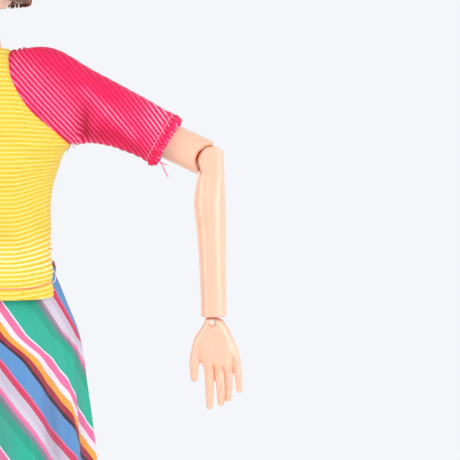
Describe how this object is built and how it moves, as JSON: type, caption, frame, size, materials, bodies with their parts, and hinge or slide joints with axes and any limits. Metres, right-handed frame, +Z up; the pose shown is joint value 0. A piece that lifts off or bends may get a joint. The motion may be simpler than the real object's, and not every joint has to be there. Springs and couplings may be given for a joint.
{
  "type": "jointed fashion doll",
  "caption": "Standing one-sixth scale fashion doll with hinged elbows, wrists, knees and hips, a turning head, a knit top with raglan sleeves and a striped wrap skirt.",
  "frame": {"origin": "middle of the two shoe soles, on the surface that the doll stands on", "axes": "+Z up, +X to the doll's left, the doll faces -Y"},
  "size_m": [0.156, 0.0514, 0.2972],
  "materials": {
    "skin": "glossy peach moulded plastic",
    "face_vinyl": "soft satin vinyl with painted features",
    "hair_fibre": "silky rooted nylon fibre",
    "link_plastic": "pale grey-white plastic",
    "yellow_knit": "ribbed knit",
    "pink_knit": "ribbed knit",
    "closure_tape": "hook-and-loop tape",
    "striped_cloth": "satin with diagonal stripes",
    "shoe_vinyl": "glossy white vinyl",
    "sole_vinyl": "pink vinyl"
  },
  "bodies": {
    "torso": {"torso_front": "skin", "torso_back": "skin", "hip_axle": "link_plastic", "top_body": "yellow_knit", "closure_strip": "closure_tape", "skirt_waistband": "striped_cloth"},
    "neck": {"neck_knob": "link_plastic"},
    "head": {"head": "face_vinyl", "hair": "hair_fibre"},
    "left_shoulder": {"left_shoulder_hub": "link_plastic", "left_shoulder_pin": "link_plastic", "left_sleeve": "pink_knit"},
    "left_upper_arm": {"left_upper_arm": "skin", "left_elbow_link": "link_plastic"},
    "left_forearm": {"left_forearm": "skin", "left_elbow_pin": "link_plastic"},
    "left_wrist": {"left_wrist_link": "link_plastic"},
    "left_hand": {"left_hand": "skin", "left_wrist_pin": "link_plastic"},
    "right_shoulder": {"right_shoulder_hub": "link_plastic", "right_shoulder_pin": "link_plastic", "right_sleeve": "pink_knit"},
    "right_upper_arm": {"right_upper_arm": "skin", "right_elbow_link": "link_plastic"},
    "right_forearm": {"right_forearm": "skin", "right_elbow_pin": "link_plastic"},
    "right_wrist": {"right_wrist_link": "link_plastic"},
    "right_hand": {"right_hand": "skin", "right_wrist_pin": "link_plastic"},
    "left_thigh": {"left_thigh": "skin", "left_knee_link": "link_plastic", "skirt_left_panel": "striped_cloth"},
    "left_lower_leg": {"left_lower_leg": "skin", "left_knee_pin": "link_plastic", "left_shoe_upper": "shoe_vinyl", "left_shoe_sole": "sole_vinyl"},
    "right_thigh": {"right_thigh": "skin", "right_knee_link": "link_plastic", "skirt_right_panel": "striped_cloth"},
    "right_lower_leg": {"right_lower_leg": "skin", "right_knee_pin": "link_plastic", "right_shoe_upper": "shoe_vinyl", "right_shoe_sole": "sole_vinyl"}
  },
  "joints": [
    {"name": "neck_turn", "type": "hinge", "parent": "torso", "child": "neck", "pos_m": [0, 0, 0.2532], "axis": [0, 0, 1], "range_deg": [-75, 75]},
    {"name": "head_nod", "type": "hinge", "parent": "neck", "child": "head", "pos_m": [0, 0, 0.2594], "axis": [1, 0, 0], "range_deg": [-12, 14]},
    {"name": "left_shoulder_swivel", "type": "hinge", "parent": "torso", "child": "left_shoulder", "pos_m": [0.022, 0, 0.232], "axis": [-1, 0, 0], "range_deg": [-45, 90], "deforming": ["left_sleeve"]},
    {"name": "left_shoulder_raise", "type": "hinge", "parent": "left_shoulder", "child": "left_upper_arm", "pos_m": [0.022, 0, 0.232], "axis": [0, -1, 0], "range_deg": [-12, 70], "deforming": ["left_sleeve"]},
    {"name": "left_elbow_bend", "type": "hinge", "parent": "left_upper_arm", "child": "left_forearm", "pos_m": [0.06905, 0, 0.20986], "axis": [0, -1, 0], "range_deg": [-2, 64.8]},
    {"name": "left_wrist_turn", "type": "hinge", "parent": "left_forearm", "child": "left_wrist", "pos_m": [0.06905, 0, 0.16286], "axis": [0, 0, 1], "range_deg": [-90, 90]},
    {"name": "left_wrist_bend", "type": "hinge", "parent": "left_wrist", "child": "left_hand", "pos_m": [0.06905, 0, 0.16106], "axis": [0, -1, 0], "range_deg": [-22, 22]},
    {"name": "left_hip_swing", "type": "hinge", "parent": "torso", "child": "left_thigh", "pos_m": [0.0115, 0, 0.152], "axis": [-1, 0, 0], "range_deg": [-15, 70], "deforming": ["skirt_left_panel"]},
    {"name": "left_knee_bend", "type": "hinge", "parent": "left_thigh", "child": "left_lower_leg", "pos_m": [0.0115, 0, 0.084], "axis": [1, 0, 0], "range_deg": [0, 65]},
    {"name": "right_shoulder_swivel", "type": "hinge", "parent": "torso", "child": "right_shoulder", "pos_m": [-0.022, 0, 0.232], "axis": [-1, 0, 0], "range_deg": [-45, 90], "deforming": ["right_sleeve"]},
    {"name": "right_shoulder_raise", "type": "hinge", "parent": "right_shoulder", "child": "right_upper_arm", "pos_m": [-0.022, 0, 0.232], "axis": [0, 1, 0], "range_deg": [-12, 70], "deforming": ["right_sleeve"]},
    {"name": "right_elbow_bend", "type": "hinge", "parent": "right_upper_arm", "child": "right_forearm", "pos_m": [-0.06905, 0, 0.20986], "axis": [0, 1, 0], "range_deg": [-2, 64.8]},
    {"name": "right_wrist_turn", "type": "hinge", "parent": "right_forearm", "child": "right_wrist", "pos_m": [-0.06905, 0, 0.16286], "axis": [0, 0, -1], "range_deg": [-90, 90]},
    {"name": "right_wrist_bend", "type": "hinge", "parent": "right_wrist", "child": "right_hand", "pos_m": [-0.06905, 0, 0.16106], "axis": [0, 1, 0], "range_deg": [-22, 22]},
    {"name": "right_hip_swing", "type": "hinge", "parent": "torso", "child": "right_thigh", "pos_m": [-0.0115, 0, 0.152], "axis": [-1, 0, 0], "range_deg": [-15, 70], "deforming": ["skirt_right_panel"]},
    {"name": "right_knee_bend", "type": "hinge", "parent": "right_thigh", "child": "right_lower_leg", "pos_m": [-0.0115, 0, 0.084], "axis": [1, 0, 0], "range_deg": [0, 65]}
  ]
}
